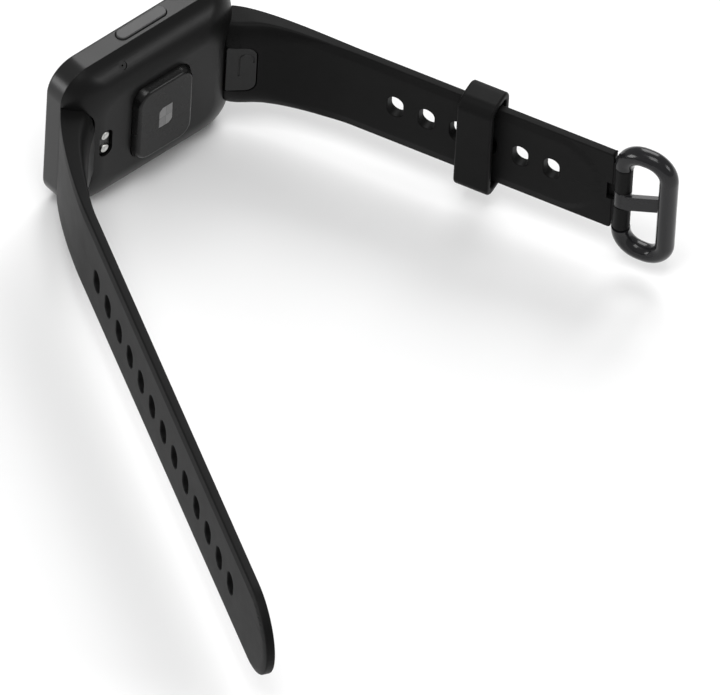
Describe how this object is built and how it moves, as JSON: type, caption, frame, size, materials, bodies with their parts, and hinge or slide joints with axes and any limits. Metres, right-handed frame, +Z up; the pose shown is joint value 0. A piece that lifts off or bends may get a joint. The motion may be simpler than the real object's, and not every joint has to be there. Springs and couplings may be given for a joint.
{
  "type": "fitness tracker band",
  "caption": "Wrist-worn fitness tracker: square case with side button, optical sensor bump and charging contacts, with a buckle strap, sliding keeper and holed tail strap.",
  "frame": {"origin": "middle of the flat side wall that the case rests on, at the centre of the case's length and of the side band's depth", "axes": "+X along the case towards the buckle strap, -Y out of the back towards the wrist, +Y out of the front glass, +Z up through the button side"},
  "size_m": [0.1348, 0.1282, 0.0362],
  "materials": {
    "case_band": "satin moulded side band, dark grey",
    "case_back": "fine matt moulded back cover",
    "front_glass": "black-bordered cover glass",
    "foam": "black foam and silicone seals",
    "display": "dark display panel",
    "sensor_cover": "smooth dark lens plastic",
    "sensor_window": "clear window over the optical sensor",
    "board": "circuit board with solder mask",
    "led": "light emitting chip package",
    "chip": "dark photodiode package",
    "insulator": "black insulating insert",
    "contact": "plated charging contact",
    "steel": "bright stamped or turned steel",
    "battery_foil": "foil pouch cell",
    "copper": "copper strip antenna",
    "button_metal": "satin grey metal button",
    "strap": "soft matt elastomer strap",
    "release_tab": "hard matt plastic tab",
    "ring_metal": "gloss black coated metal"
  },
  "bodies": {
    "case": {"mid_frame": "case_band", "back_cover": "case_back", "front_glass": "front_glass", "display_gasket": "foam", "display_panel": "display", "button_seal": "foam", "tact_switch": "steel", "buckle_catch": "steel", "tail_catch": "steel", "sensor_cover": "sensor_cover", "sensor_window": "sensor_window", "sensor_board": "board", "led_upper": "led", "led_lower": "led", "photodiode_upper": "chip", "photodiode_lower": "chip", "contact_insulator": "insulator", "contact_upper": "contact", "contact_lower": "contact", "main_board": "board", "battery": "battery_foil", "vibration_motor": "steel", "radio_antenna": "copper"},
    "button": {"side_button": "button_metal"},
    "buckle_root": {"buckle_strap_root": "strap", "buckle_release_spring": "steel"},
    "buckle_tab": {"buckle_release_tab": "release_tab"},
    "buckle_band": {"buckle_strap_band": "strap", "buckle_pin": "steel"},
    "keeper": {"keeper_loop": "strap"},
    "ring": {"buckle_ring": "ring_metal"},
    "tongue": {"buckle_tongue": "ring_metal"},
    "tail_root": {"tail_strap_root": "strap", "tail_release_spring": "steel"},
    "tail_tab": {"tail_release_tab": "release_tab"},
    "tail_band": {"tail_strap_band": "strap"}
  },
  "joints": [
    {"name": "side_button_press", "type": "slide", "parent": "case", "child": "button", "axis": [0, 0, -1], "range_m": [0, 0.0003], "stiffness_N_per_m": 1500},
    {"name": "buckle_strap_release", "type": "slide", "parent": "case", "child": "buckle_root", "axis": [1, 0, 0], "range_m": [0, 0.005]},
    {"name": "buckle_tab_press", "type": "slide", "parent": "buckle_root", "child": "buckle_tab", "axis": [0.6093, 0.7929, 0], "range_m": [0, 0.0004], "stiffness_N_per_m": 1500},
    {"name": "buckle_strap_flex", "type": "hinge", "parent": "buckle_root", "child": "buckle_band", "pos_m": [0.03277, -0.02589, 0.0179], "axis": [0, 0, -1], "range_deg": [-30, 40], "stiffness_Nm_per_rad": 0.01},
    {"name": "keeper_slide", "type": "slide", "parent": "buckle_band", "child": "keeper", "axis": [0.3811, -0.9245, 0], "range_m": [-0.021, 0.016]},
    {"name": "buckle_ring_swing", "type": "hinge", "parent": "buckle_band", "child": "ring", "pos_m": [0.05367, -0.07871, 0.0179], "axis": [0, 0, 1], "range_deg": [-60, 60]},
    {"name": "buckle_tongue_swing", "type": "hinge", "parent": "ring", "child": "tongue", "pos_m": [0.05367, -0.07871, 0.0179], "axis": [0, 0, 1], "range_deg": [0, 80]},
    {"name": "tail_strap_release", "type": "slide", "parent": "case", "child": "tail_root", "axis": [-1, 0, 0], "range_m": [0, 0.005]},
    {"name": "tail_tab_press", "type": "slide", "parent": "tail_root", "child": "tail_tab", "axis": [-0.6093, 0.7929, 0], "range_m": [0, 0.0004], "stiffness_N_per_m": 1500},
    {"name": "tail_strap_flex", "type": "hinge", "parent": "tail_root", "child": "tail_band", "pos_m": [-0.03387, -0.02589, 0.0179], "axis": [0, 0, 1], "range_deg": [-30, 40], "stiffness_Nm_per_rad": 0.015}
  ]
}
